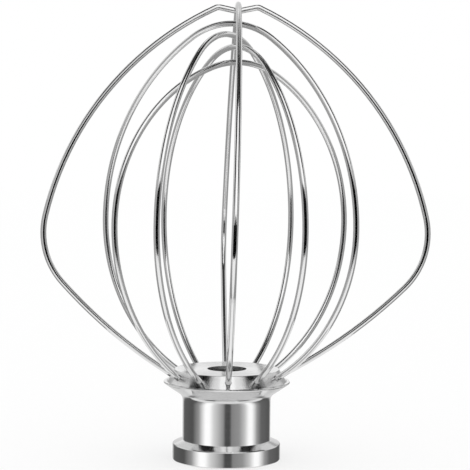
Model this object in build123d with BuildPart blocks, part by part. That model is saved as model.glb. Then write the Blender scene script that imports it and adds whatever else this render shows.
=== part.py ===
from build123d import *
from math import asin, cos, hypot, radians, sin, sqrt, tan
from typing import NamedTuple
import os

# Wire whisk for a stand mixer, standing on the flange of its hub with the loops upward.
# Millimetres. The origin is the centre of the flange's flat face, and +Z runs up the hub's axis.

# Wire
wire_d = 2.0
wire_hole_clearance = 0.1   # around each wire in its hole in the cap
wire_tail = 5.0             # straight end of a wire, inward from its hole
crossing_gap = 0.1          # between the two outer wires where one passes over the other

# Hub, from the flange up
flange_d = 36.4
flange_wall = 5.4           # height of the flange's outer wall
flange_slope_rise = 1.4     # the flange's upper face climbs this much to the body
flange_edge_r = 0.5
body_d = 29.7
flare_start = 20.0          # height at which the body begins to open out
flare_root_r = 3.0
flare_angle = 33.7          # above the horizontal
flare_wall = 1.0
rim_d = 42.6
rim_wall = 0.6              # height of the rim's outer wall
rim_edge_r = 0.35
lip_wall = 1.05             # thickness of the rim's lip around the cap
lip_rise = 0.3              # the lip stands this much above the ledge that carries the cap

# Conical cap, seated inside the lip
cap_height = 4.3
cap_slope = 59.0            # above the horizontal
cap_sheet = 1.2
cap_edge_r = 0.3
cap_fit = 0.05              # around the cap's foot in the rim, and over the socket boss

# Socket for the mixer's drive shaft, with a bayonet track for the shaft's cross pin
bore_d = 13.2
boss_wall = 2.4
well_depth = 3.9            # of the well under the cap, below the ledge
pin_slot_width = 4.6
pin_slot_depth = 3.8        # out from the bore's wall
pin_track_floor = 10.8
pin_track_height = 4.8
pin_turn = 42.0             # degrees from the entry slot to the locking pocket
pin_pocket_drop = 1.4       # the pocket's step towards the flange
pin_entry_azimuth = 90.0

# Wire loops. Heights are above the flange's face, widths are to the wire's centre line,
# and an offset moves the middle of a loop sideways in its own plane.
wire_hole_rise = 2.4        # from the cap's foot to the middle of each wire's hole
leg_bend_r = 170.0          # the legs leave the hub in a long, easy bend

outer_half_width = 64.5
outer_belly_height = 76.1
outer_belly_bend_r = 25.0
outer_side_bend_r = 102.2
outer_offset = 2.8
shoulder_half_width = 6.4   # from the middle of the dip to the top of each shoulder
shoulder_height = 151.5
shoulder_bend_r = 2.5
dip_angle = 12.0            # slope of the dip's two flanks
dip_bend_r = 5.0
over_crown_bend_r = 16.0

inner_belly_height = 79.1


class InnerLoop(NamedTuple):
    """Shape of one of the nested inner loops, beside the outer loop and the wire."""

    azimuth: float
    width: float            # these four are shares of the outer loop's half width
    crown_bend: float
    belly_offset: float
    crown_offset: float
    crown_drop: float       # in wire diameters


# From the tallest to the shortest. Each crown lies its drop below the crown before it,
# and the first one below the dip of the outer wire.
inner_loops = [
    InnerLoop(-30, width=0.741, crown_bend=0.412, belly_offset=-0.014, crown_offset=0.0, crown_drop=2.1),
    InnerLoop(60, width=0.729, crown_bend=0.484, belly_offset=0.011, crown_offset=-0.007, crown_drop=1.8),
    InnerLoop(-60, width=0.698, crown_bend=0.462, belly_offset=0.016, crown_offset=0.048, crown_drop=2.1),
    InnerLoop(30, width=0.702, crown_bend=0.462, belly_offset=0.039, crown_offset=0.063, crown_drop=2.45),
]

# Sizes that follow from the ones above
wire_r = wire_d / 2
flange_r = flange_d / 2
body_r = body_d / 2
rim_r = rim_d / 2
bore_r = bore_d / 2
flare_turn = radians(90 - flare_angle)
flare_foot_r = body_r + flare_root_r * (1 - cos(flare_turn))    # where the flare's straight run begins
flare_foot_height = flare_start + flare_root_r * sin(flare_turn)
flare_climb = tan(radians(flare_angle))


def flare_height(radius):
    """Height of the flare's underside at a radius."""
    return flare_foot_height + (radius - flare_foot_r) * flare_climb


rim_top = flare_height(rim_r) + rim_wall
seat_r = rim_r - lip_wall
cap_seat = rim_top - lip_rise
cap_top = cap_seat + cap_height
cap_base_r = seat_r - cap_fit
cone_run = 1 / tan(radians(cap_slope))                          # inward for each mm of height
cap_top_r = cap_base_r - cap_height * cone_run
cap_skin = cap_sheet * sqrt(1 + cone_run**2)                    # the sheet, measured level
wire_hole_height = cap_seat + wire_hole_rise
wire_hole_r = cap_base_r - wire_hole_rise * cone_run


def upright_plane(azimuth, height=0.0):
    """A plane through the axis, with local X pointing outward at an azimuth and local Y up."""
    outward = Vector(1, 0, 0).rotate(Axis.Z, azimuth)
    return Plane(origin=(0, 0, height), x_dir=outward, z_dir=outward.cross(Vector(0, 0, 1)))


def crossing(centre_a, radius_a, centre_b, radius_b):
    """Where two circles cross, on the left of the way from the first centre to the second."""
    way = centre_b - centre_a
    along = (way.length**2 + radius_a**2 - radius_b**2) / (2 * way.length)
    aside = sqrt(radius_a**2 - along**2)
    ahead = way.normalized()
    return centre_a + ahead * along + Vector(-ahead.Y, ahead.X) * aside


def touch(centre, radius, wide_centre):
    """Where a circle touches the inside of a wider one."""
    return centre + (centre - wide_centre).normalized() * radius


def corner(centre, start, end):
    """Where the tangents at the two ends of an arc meet."""
    middle = (start + end) / 2 - centre
    return centre + middle * ((start - centre).length / middle.length) ** 2


class Half:
    """Draws one half of a loop, in distances outward from the middle line of its crown."""

    def __init__(self, side, crown_offset, belly_offset, half_width, belly_height, lean=0.0, lean_from=0.0):
        self.side = side
        self.crown_offset = crown_offset
        self.lean = lean
        self.lean_from = lean_from
        self.hole = Vector(wire_hole_r - side * crown_offset, wire_hole_height)
        self.belly = Vector(half_width + side * (belly_offset - crown_offset), belly_height)

    def place(self, point):
        """A point in the loop's plane. Above the height where the half starts to lean, it goes aside."""
        above = max(point.Y - self.lean_from, 0)
        height = point.Y - wire_hole_height - above * (1 - cos(self.lean))
        return Vector(self.crown_offset + self.side * point.X, height, above * sin(self.lean))

    def run(self, start, end):
        Line(tuple(self.place(start)), tuple(self.place(end)))

    def bend(self, centre, start, end):
        first = self.place(start)
        last = self.place(end)
        peak = self.place(corner(centre, start, end))
        inward = (first + last) / 2 - peak
        tangent = (first - peak).length
        depth = tangent * (tangent - sqrt(tangent**2 - inward.length**2)) / inward.length
        middle = peak + inward.normalized() * depth
        ThreePointArc(tuple(first), tuple(middle), tuple(last))

    def tail(self, leg_centre):
        """The straight end in the hub, in line with the leg where it leaves its hole."""
        spoke = (self.hole - leg_centre).normalized()
        self.run(self.hole - Vector(-spoke.Y, spoke.X) * wire_tail, self.hole)


def inner_path(loop, crown_height):
    """Centre line of an inner loop: one bend from the hub to the belly, a side and a round crown."""
    crown_r = loop.crown_bend * outer_half_width
    with BuildLine(upright_plane(loop.azimuth, wire_hole_height)) as path:
        for side in (1, -1):
            half = Half(
                side,
                loop.crown_offset * outer_half_width,
                loop.belly_offset * outer_half_width,
                loop.width * outer_half_width,
                inner_belly_height,
            )
            lower = half.belly - half.hole
            lower_r = lower.length**2 / (2 * lower.X)
            lower_centre = half.belly - Vector(lower_r, 0)
            width = half.belly.X
            rise = crown_height - half.belly.Y
            side_r = (width**2 + rise**2 - 2 * rise * crown_r) / (2 * (width - crown_r))
            side_centre = half.belly - Vector(side_r, 0)
            crown = Vector(0, crown_height)
            crown_centre = crown - Vector(0, crown_r)
            crown_start = touch(crown_centre, crown_r, side_centre)
            half.tail(lower_centre)
            half.bend(lower_centre, half.hole, half.belly)
            half.bend(side_centre, half.belly, crown_start)
            half.bend(crown_centre, crown_start, crown)
    return path.wires()[0]


def outer_arcs(half, crown_centre, crown_r):
    """Centre, start and end of an outer loop's long leg, of its tight belly bend and of its side."""
    belly_r = outer_belly_bend_r
    side_r = outer_side_bend_r
    belly_centre = half.belly - Vector(belly_r, 0)
    leg_centre = crossing(half.hole, leg_bend_r, belly_centre, leg_bend_r - belly_r)
    side_centre = crossing(belly_centre, side_r - belly_r, crown_centre, side_r - crown_r)
    belly_start = touch(belly_centre, belly_r, leg_centre)
    belly_end = touch(belly_centre, belly_r, side_centre)
    crown_start = touch(crown_centre, crown_r, side_centre)
    return (
        (leg_centre, half.hole, belly_start),
        (belly_centre, belly_start, belly_end),
        (side_centre, belly_end, crown_start),
    )


def outer_rise(half, crown_centre, crown_r):
    """Draws an outer loop's tail and its arcs up to the crown. Returns where the crown begins."""
    leg, belly, side = outer_arcs(half, crown_centre, crown_r)
    half.tail(leg[0])
    for arc in (leg, belly, side):
        half.bend(*arc)
    return side[-1]


# The dip between the under wire's shoulders: a straight flank down from each, and a bend
shoulder_centre = Vector(shoulder_half_width, shoulder_height - shoulder_bend_r)
flank_normal = Vector(-sin(radians(dip_angle)), cos(radians(dip_angle)))
flank_top = shoulder_centre + flank_normal * shoulder_bend_r
flank_foot_x = dip_bend_r * sin(radians(dip_angle))
flank_foot = Vector(flank_foot_x, flank_top.Y - (flank_top.X - flank_foot_x) * tan(radians(dip_angle)))
dip_centre = flank_foot + flank_normal * dip_bend_r
dip = dip_centre - Vector(0, dip_bend_r)


def under_path():
    """Centre line of the outer loop whose crown dips to let the other one over."""
    with BuildLine(upright_plane(0, wire_hole_height)) as path:
        for side in (1, -1):
            half = Half(side, outer_offset, outer_offset, outer_half_width, outer_belly_height)
            crown_start = outer_rise(half, shoulder_centre, shoulder_bend_r)
            half.bend(shoulder_centre, crown_start, flank_top)
            half.run(flank_top, flank_foot)
            half.bend(dip_centre, flank_foot, dip)
    return path.wires()[0]


def over_path():
    """Centre line of the other outer loop, which leans above the belly to cross the dip in its middle."""
    crown_top = dip.Y + wire_d + crossing_gap
    crown_depth = Vector(0, over_crown_bend_r)
    upright = Half(1, 0, 0, outer_half_width, outer_belly_height)
    belly = outer_arcs(upright, Vector(0, crown_top) - crown_depth, over_crown_bend_r)[1]
    lean_from = corner(*belly).Y
    reach = hypot(crown_top - lean_from, outer_offset)
    lean = asin(outer_offset / reach)
    crown = Vector(0, lean_from + reach)
    crown_centre = crown - crown_depth
    with BuildLine(upright_plane(90, wire_hole_height)) as path:
        for side in (1, -1):
            half = Half(side, 0, 0, outer_half_width, outer_belly_height, lean, lean_from)
            crown_start = outer_rise(half, crown_centre, over_crown_bend_r)
            half.bend(crown_centre, crown_start, crown)
    return path.wires()[0]


wire_paths = {"outer_wire_under": under_path(), "outer_wire_over": over_path()}
crown_height = dip.Y
for number, loop in enumerate(inner_loops, start=1):
    crown_height -= loop.crown_drop * wire_d
    wire_paths[f"inner_wire_{number}"] = inner_path(loop, crown_height)

# Hub body: flange, body, flared rim with a ledge for the cap, and a boss around the socket
flare_wall_rise = flare_wall / cos(radians(flare_angle))
ledge_r = cap_base_r - cap_skin
boss_r = bore_r + boss_wall
boss_top = cap_top - cap_sheet - cap_fit
well_floor = cap_seat - well_depth
well_r = flare_foot_r + (well_floor - flare_wall_rise - flare_foot_height) / flare_climb
slot_reach = bore_r + pin_slot_depth
pin_track_top = pin_track_floor + pin_track_height

with BuildPart() as hub_body:
    with BuildSketch(Plane.XZ) as section:
        with BuildLine():
            Polyline(
                (body_r, flare_start),
                (body_r, flange_wall + flange_slope_rise),
                (flange_r, flange_wall),
                (flange_r, 0),
                (bore_r, 0),
                (bore_r, boss_top),
                (boss_r, boss_top),
                (boss_r, well_floor),
                (well_r, well_floor),
                (ledge_r, flare_height(ledge_r) + flare_wall_rise),
                (ledge_r, cap_seat),
                (seat_r, cap_seat),
                (seat_r, rim_top),
                (rim_r, rim_top),
                (rim_r, flare_height(rim_r)),
                (flare_foot_r, flare_foot_height),
            )
            RadiusArc((flare_foot_r, flare_foot_height), (body_r, flare_start), -flare_root_r)
        make_face()
        flange_corners = section.vertices().filter_by_position(Axis.X, flange_r, flange_r)
        fillet(flange_corners, flange_edge_r)
        rim_corners = section.vertices().filter_by_position(Axis.X, rim_r, rim_r)
        fillet(rim_corners, rim_edge_r)
    revolve(axis=Axis.Z)
    # The pin goes in along the entry slot, turns along the track and drops into the pocket
    for azimuth, floor in (
        (pin_entry_azimuth, 0),
        (pin_entry_azimuth + pin_turn, pin_track_floor - pin_pocket_drop),
    ):
        with BuildSketch(Plane.XY.offset(floor).rotated((0, 0, azimuth))):
            Rectangle(slot_reach, pin_slot_width, align=(Align.MIN, Align.CENTER))
        extrude(amount=pin_track_top - floor, mode=Mode.SUBTRACT)
    with BuildSketch(upright_plane(pin_entry_azimuth)):
        with Locations((0, pin_track_floor)):
            Rectangle(slot_reach, pin_track_height, align=Align.MIN)
    revolve(axis=Axis.Z, revolution_arc=pin_turn, mode=Mode.SUBTRACT)

# Cap: a pressed cone with a flat top, the socket's hole and a hole for each wire end
with BuildPart() as hub_cap:
    with BuildSketch(Plane.XZ) as section:
        with BuildLine():
            Polyline(
                (cap_base_r, cap_seat),
                (cap_top_r, cap_top),
                (bore_r, cap_top),
                (bore_r, cap_top - cap_sheet),
                (cap_top_r - cap_skin + cap_sheet * cone_run, cap_top - cap_sheet),
                (cap_base_r - cap_skin, cap_seat),
                close=True,
            )
        make_face()
        fillet(section.vertices().group_by(Axis.Y)[-1].sort_by(Axis.X)[-1], cap_edge_r)
    revolve(axis=Axis.Z)
    for path in wire_paths.values():
        for end, outward in ((path @ 0, path % 0), (path @ 1, -(path % 1))):
            with BuildSketch(Plane(origin=end, z_dir=outward)):
                Circle(wire_r + wire_hole_clearance)
            extrude(amount=2 * wire_tail, mode=Mode.SUBTRACT)

os.makedirs("parts", exist_ok=True)
hub_body.part.label = "hub_body"
export_step(hub_body.part, "parts/hub_body.step")
hub_cap.part.label = "hub_cap"
export_step(hub_cap.part, "parts/hub_cap.step")

for name, path in wire_paths.items():
    with BuildPart() as wire:
        with BuildSketch(Plane(origin=path @ 0, z_dir=path % 0)):
            Circle(wire_r)
        sweep(path=path)
    wire.part.label = name
    export_step(wire.part, f"parts/{name}.step")
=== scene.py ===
from math import cos, radians, sin

import bpy
from mathutils import Matrix, Vector

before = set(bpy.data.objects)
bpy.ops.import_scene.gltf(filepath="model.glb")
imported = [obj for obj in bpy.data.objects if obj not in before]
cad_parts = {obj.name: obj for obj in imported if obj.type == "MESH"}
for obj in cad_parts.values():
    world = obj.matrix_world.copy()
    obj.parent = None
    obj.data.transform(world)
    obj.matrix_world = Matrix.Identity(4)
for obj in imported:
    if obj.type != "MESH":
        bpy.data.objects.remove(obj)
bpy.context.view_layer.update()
scene = bpy.context.scene

# Camera, in metres and degrees, with its lens in millimetres. It looks along +Y, a little down, and rolls
# with the photograph. An unturned camera looks straight down, and level_tilt brings it level.
camera_place = Vector((-0.01425, -0.5292, 0.10598))
camera_yaw = -1.8
camera_pitch = -3.28
camera_roll = 0.46
camera_lens = 121.1
camera_reach = (0.01, 50.0)
level_tilt = 90

# White room: an even sky, and a floor whose shadow is lifted for the camera
sky_light = 1.0
floor_half_width = 3.0
floor_shade = 0.99
floor_lift = 0.6

# Cards that only the steel's reflections see. Azimuth is measured from the direction to the camera,
# positive to the right. Each one: azimuth from and to, elevation from and to, brightness.
# They stand on spheres round the whisk, each card a little nearer than the one before it.
# Angles are in degrees and lengths in metres, and card_step is the angle between a card's points.
studio_centre = Vector((0, 0, 0.08))
studio_radius = 1.5
card_spacing = 0.01
card_step = 6.0
sky_cards = {
    "front_wall": (-48, 52, -17, 48, 0.72),
    "left_wall": (-165, -48, -17, 21, 0.45),
    "right_wall": (52, 165, -17, 21, 0.42),
    "back_wall": (165, 195, -17, 48, 0.95),
    "side_floor": (-180, 180, -90, -17, 0.36),
    "front_floor": (-57, 52, -85, -17, 1.1),
    "upper_left": (-165, -48, 21, 48, 0.18),
    "upper_right": (52, 165, 21, 48, 0.18),
    "top": (-165, 165, 48, 90, 0.05),
    "back_sky": (100, 260, 21, 50, 0.75),
    "softbox": (-18, 42, 19, 46, 1.33),
    "upper_softbox": (-50, 50, 42, 70, 0.95),
    "upper_core": (-20, 20, 42, 70, 1.25),
    "left_gap": (-95, -45, 28, 70, 0.0),
    "right_gap": (47, 95, 28, 70, 0.0),
    "left_pale": (-145, -90, 12, 36, 0.9),
    "right_pale": (90, 145, 12, 36, 0.85),
}

# Card before the whisk at the height of the bellies, in metres: pale to the hub, black to the wires
front_card_y = -0.135
front_card_across = (-0.105, 0.155)
front_card_up = (0.045, 0.123)
front_card_level = 0.8

# Low graded ring that the hub reflects, in metres, and its brightness at some azimuths
full_turn = (-180, 180)
ring_radius = 0.06
ring_heights = (-0.028, 0.02)
ring_step = 2
ring_levels = (
    (-180, 0.75), (-148, 0.75), (-133, 0.13), (-89, 0.1), (-69, 0.38), (-51, 1.33), (-41, 1.33),
    (-31, 0.85), (-7, 0.3), (-5, 0.08), (7, 0.08), (10, 0.28), (28, 0.36), (41, 0.7),
    (52, 1.3), (60, 1.3), (75, 0.4), (89, 0.16), (133, 0.1), (148, 0.75), (180, 0.75),
)

# Lid that hides the ring from the wires above it
lid_radii = (0.026, ring_radius)
lid_levels = (
    (-180, 1.0), (-55, 1.0), (-40, 0.45), (-28, 0.45), (-15, 1.1),
    (15, 1.1), (28, 0.45), (40, 0.45), (55, 1.0), (180, 1.0),
)

# Pale disc below the hub, in metres
hub_floor_height = -0.028
hub_floor_radii = (0.0, 0.075)
hub_floor_level = 0.9

# Steel: shades from dark to light, roughness from smooth to coarse, and the size of the marks in metres.
# drawn_lines is how many lines fit in a unit of the normal, and quarter_turn is a share of a whole turn.
turned_shades = (0.73, 0.77)
turned_roughness = (0.1, 0.18)
turned_pitch = 0.0003
turned_depth = 0.00001
turned_stretch = 0.6
pressed_shades = (0.73, 0.78)
pressed_roughness = (0.16, 0.24)
pressed_mark = 0.003
pressed_depth = 0.000004
pressed_stretch = 0.8
drawn_shades = (0.72, 0.78)
drawn_roughness = (0.07, 0.14)
drawn_lines = 12.0
drawn_mark = 0.0006
drawn_depth = 0.000002
cloud_size = 0.008
noise_detail = 3.0
noise_span = (0.3, 0.7)
quarter_turn = 0.25


def make_camera():
    data = bpy.data.cameras.new("photo_camera")
    data.lens = camera_lens
    data.clip_start, data.clip_end = camera_reach
    camera = bpy.data.objects.new("photo_camera", data)
    scene.collection.objects.link(camera)
    turn = Matrix.Rotation(radians(camera_yaw), 4, "Z")
    tilt = Matrix.Rotation(radians(level_tilt + camera_pitch), 4, "X")
    roll = Matrix.Rotation(radians(camera_roll), 4, "Z")
    camera.matrix_world = Matrix.Translation(camera_place) @ turn @ tilt @ roll
    scene.camera = camera


def make_world():
    world = bpy.data.worlds.new("studio")
    scene.world = world
    world.use_nodes = True
    background = world.node_tree.nodes["Background"]
    background.inputs["Color"].default_value = (1, 1, 1, 1)
    background.inputs["Strength"].default_value = sky_light


def bare_material(name):
    """A material with nothing but its output node."""
    material = bpy.data.materials.new(name)
    material.use_nodes = True
    tree = material.node_tree
    tree.nodes.remove(tree.nodes["Principled BSDF"])
    return material, tree, tree.nodes["Material Output"].inputs["Surface"]


def seen_directly(tree):
    """1 for camera, glossy and transmission rays, and 0 for the rays that light a surface."""
    path = tree.nodes.new("ShaderNodeLightPath")
    first = tree.nodes.new("ShaderNodeMath")
    first.operation = "ADD"
    tree.links.new(path.outputs["Is Camera Ray"], first.inputs[0])
    tree.links.new(path.outputs["Is Glossy Ray"], first.inputs[1])
    both = tree.nodes.new("ShaderNodeMath")
    both.operation = "ADD"
    both.use_clamp = True
    tree.links.new(first.outputs[0], both.inputs[0])
    tree.links.new(path.outputs["Is Transmission Ray"], both.inputs[1])
    return both.outputs[0]


def stage_mesh(name, points, faces, material):
    mesh = bpy.data.meshes.new(name)
    mesh.from_pydata(points, [], faces)
    mesh.update()
    mesh.materials.append(material)
    obj = bpy.data.objects.new(name, mesh)
    scene.collection.objects.link(obj)
    return obj


def make_floor():
    material, tree, surface = bare_material("pale_floor")
    paper = tree.nodes.new("ShaderNodeBsdfDiffuse")
    paper.inputs["Color"].default_value = (floor_shade, floor_shade, floor_shade, 1)
    white = tree.nodes.new("ShaderNodeEmission")
    share = tree.nodes.new("ShaderNodeMath")
    share.operation = "MULTIPLY"
    share.inputs[1].default_value = floor_lift
    tree.links.new(seen_directly(tree), share.inputs[0])
    mix = tree.nodes.new("ShaderNodeMixShader")
    tree.links.new(share.outputs[0], mix.inputs["Fac"])
    tree.links.new(paper.outputs[0], mix.inputs[1])
    tree.links.new(white.outputs[0], mix.inputs[2])
    tree.links.new(mix.outputs[0], surface)
    half = floor_half_width
    corners = [(-half, -half, 0), (half, -half, 0), (half, half, 0), (-half, half, 0)]
    floor = stage_mesh("floor", corners, [(0, 1, 2, 3)], material)
    floor.visible_glossy = False


def card_material():
    """Glows as brightly as the card's own glow attribute says, on the side towards the whisk only."""
    material, tree, surface = bare_material("card")
    level = tree.nodes.new("ShaderNodeAttribute")
    level.attribute_name = "glow"
    glow = tree.nodes.new("ShaderNodeEmission")
    tree.links.new(level.outputs["Fac"], glow.inputs["Strength"])
    clear = tree.nodes.new("ShaderNodeBsdfTransparent")
    side = tree.nodes.new("ShaderNodeNewGeometry")
    mix = tree.nodes.new("ShaderNodeMixShader")
    tree.links.new(side.outputs["Backfacing"], mix.inputs["Fac"])
    tree.links.new(clear.outputs[0], mix.inputs[1])
    tree.links.new(glow.outputs[0], mix.inputs[2])
    tree.links.new(mix.outputs[0], surface)
    return material


def grid_card(name, material, point, across, up, level):
    """A card through point(u, v) for each pair of the values in across and up, as bright as level(u)."""
    points = [point(u, v) for v in up for u in across]
    width = len(across)
    faces = []
    for row in range(len(up) - 1):
        for column in range(width - 1):
            first = row * width + column
            faces.append((first, first + 1, first + width + 1, first + width))
    card = stage_mesh(name, points, faces, material)
    glow = card.data.attributes.new("glow", "FLOAT", "POINT")
    glow.data.foreach_set("value", [level(u) for v in up for u in across])
    card.visible_camera = False
    card.visible_diffuse = False
    card.visible_transmission = False
    card.visible_volume_scatter = False
    card.visible_shadow = False
    return card


def spread(first, last, step):
    count = max(1, round(abs(last - first) / step))
    return [first + (last - first) * k / count for k in range(count + 1)]


def sky_card(name, material, radius, place):
    azimuth_from, azimuth_to, elevation_from, elevation_to, level = place

    def point(azimuth, elevation):
        flat = radius * cos(radians(elevation))
        height = radius * sin(radians(elevation))
        return studio_centre + Vector((flat * sin(radians(azimuth)), -flat * cos(radians(azimuth)), height))

    grid_card(name, material, point, spread(azimuth_from, azimuth_to, card_step),
              spread(elevation_from, elevation_to, card_step), lambda azimuth: level)


def graded(stops):
    """Brightness by azimuth, in straight lines from stop to stop."""

    def level(azimuth):
        for (before, low), (after, high) in zip(stops, stops[1:]):
            if before <= azimuth <= after:
                return low + (high - low) * (azimuth - before) / (after - before)

    return level


def round_point(azimuth, radius, height):
    """A point at that azimuth round the hub's axis."""
    return (radius * sin(radians(azimuth)), -radius * cos(radians(azimuth)), height)


def upright_ring(name, material, radius, heights, level):
    """A ring round the hub's axis that glows inward."""
    grid_card(name, material, lambda azimuth, height: round_point(azimuth, radius, height),
              spread(*full_turn, ring_step), heights, level)


def flat_ring(name, material, height, radii, level):
    """A ring round the hub's axis that glows upward."""
    grid_card(name, material, lambda azimuth, radius: round_point(azimuth, radius, height),
              spread(*full_turn, ring_step), radii, level)


def shine_only_on(card, *nodes):
    """Links a card's light to these nodes. The others see it black."""
    receivers = bpy.data.collections.new(card.name)
    for node in nodes:
        receivers.objects.link(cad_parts[node])
    card.light_linking.receiver_collection = receivers


def make_cards():
    material = card_material()
    radius = studio_radius
    for name, place in sky_cards.items():
        sky_card(name, material, radius, place)
        radius -= card_spacing
    front_card = grid_card("front_card", material, lambda x, z: (x, front_card_y, z), front_card_across,
                           front_card_up, lambda x: front_card_level)
    shine_only_on(front_card, "hub_body", "hub_cap")
    upright_ring("hub_ring", material, ring_radius, ring_heights, graded(ring_levels))
    flat_ring("ring_lid", material, ring_heights[-1], lid_radii, graded(lid_levels))
    flat_ring("hub_floor", material, hub_floor_height, hub_floor_radii, lambda azimuth: hub_floor_level)


def metal(name):
    material = bpy.data.materials.new(name)
    material.use_nodes = True
    tree = material.node_tree
    shader = tree.nodes["Principled BSDF"]
    shader.inputs["Metallic"].default_value = 1.0
    return material, tree, shader


def object_place(tree):
    return tree.nodes.new("ShaderNodeTexCoord").outputs["Object"]


def noise(tree, place, size):
    texture = tree.nodes.new("ShaderNodeTexNoise")
    texture.inputs["Scale"].default_value = 1 / size
    texture.inputs["Detail"].default_value = noise_detail
    tree.links.new(place, texture.inputs["Vector"])
    return texture.outputs["Fac"]


def mottle(tree, shader, shades):
    """Soft clouds of a lighter and a darker grey."""
    ramp = tree.nodes.new("ShaderNodeValToRGB")
    for stop, shade in zip(ramp.color_ramp.elements, shades):
        stop.color = (shade, shade, shade, 1)
    tree.links.new(noise(tree, object_place(tree), cloud_size), ramp.inputs["Fac"])
    tree.links.new(ramp.outputs["Color"], shader.inputs["Base Color"])


def roughen(tree, shader, height, limits):
    span = tree.nodes.new("ShaderNodeMapRange")
    span.inputs["From Min"].default_value = noise_span[0]
    span.inputs["From Max"].default_value = noise_span[1]
    span.inputs["To Min"].default_value = limits[0]
    span.inputs["To Max"].default_value = limits[1]
    tree.links.new(height, span.inputs["Value"])
    tree.links.new(span.outputs["Result"], shader.inputs["Roughness"])


def emboss(tree, shader, height, depth):
    bump = tree.nodes.new("ShaderNodeBump")
    bump.inputs["Distance"].default_value = depth
    tree.links.new(height, bump.inputs["Height"])
    tree.links.new(bump.outputs["Normal"], shader.inputs["Normal"])


def brush_round_axis(tree, shader, stretch):
    """Stretches the gloss across fine marks that run round the axis."""
    round_axis = tree.nodes.new("ShaderNodeTangent")
    round_axis.direction_type = "RADIAL"
    round_axis.axis = "Z"
    tree.links.new(round_axis.outputs["Tangent"], shader.inputs["Tangent"])
    shader.inputs["Anisotropic"].default_value = stretch
    shader.inputs["Anisotropic Rotation"].default_value = quarter_turn


def turned_steel():
    """Fine tool marks that run round the axis, on every face alike."""
    material, tree, shader = metal("turned_steel")
    place = object_place(tree)
    flat = tree.nodes.new("ShaderNodeVectorMath")
    flat.operation = "MULTIPLY"
    flat.inputs[1].default_value = (1, 1, 0)
    tree.links.new(place, flat.inputs[0])
    radius = tree.nodes.new("ShaderNodeVectorMath")
    radius.operation = "LENGTH"
    tree.links.new(flat.outputs["Vector"], radius.inputs[0])
    split = tree.nodes.new("ShaderNodeSeparateXYZ")
    tree.links.new(place, split.inputs[0])
    profile = tree.nodes.new("ShaderNodeCombineXYZ")
    tree.links.new(radius.outputs["Value"], profile.inputs["X"])
    tree.links.new(split.outputs["Z"], profile.inputs["Y"])
    marks = noise(tree, profile.outputs[0], turned_pitch)
    mottle(tree, shader, turned_shades)
    roughen(tree, shader, marks, turned_roughness)
    emboss(tree, shader, marks, turned_depth)
    brush_round_axis(tree, shader, turned_stretch)
    return material


def pressed_steel():
    """Sheet with a faint waviness from the press, brushed round the axis."""
    material, tree, shader = metal("pressed_steel")
    waves = noise(tree, object_place(tree), pressed_mark)
    mottle(tree, shader, pressed_shades)
    roughen(tree, shader, waves, pressed_roughness)
    emboss(tree, shader, waves, pressed_depth)
    brush_round_axis(tree, shader, pressed_stretch)
    return material


def drawn_steel():
    """Polished wire, with lines along it from the drawing die and a fine grain."""
    material, tree, shader = metal("drawn_steel")
    around = tree.nodes.new("ShaderNodeNewGeometry").outputs["Normal"]
    mottle(tree, shader, drawn_shades)
    roughen(tree, shader, noise(tree, around, 1 / drawn_lines), drawn_roughness)
    emboss(tree, shader, noise(tree, object_place(tree), drawn_mark), drawn_depth)
    return material


def dress(material, *nodes):
    for node in nodes:
        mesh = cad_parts[node].data
        mesh.materials.clear()
        mesh.materials.append(material)


make_camera()
make_world()
make_floor()
make_cards()
dress(turned_steel(), "hub_body")
dress(pressed_steel(), "hub_cap")
wires = [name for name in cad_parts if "wire" in name]
dress(drawn_steel(), *wires)

scene.view_settings.view_transform = "Standard"
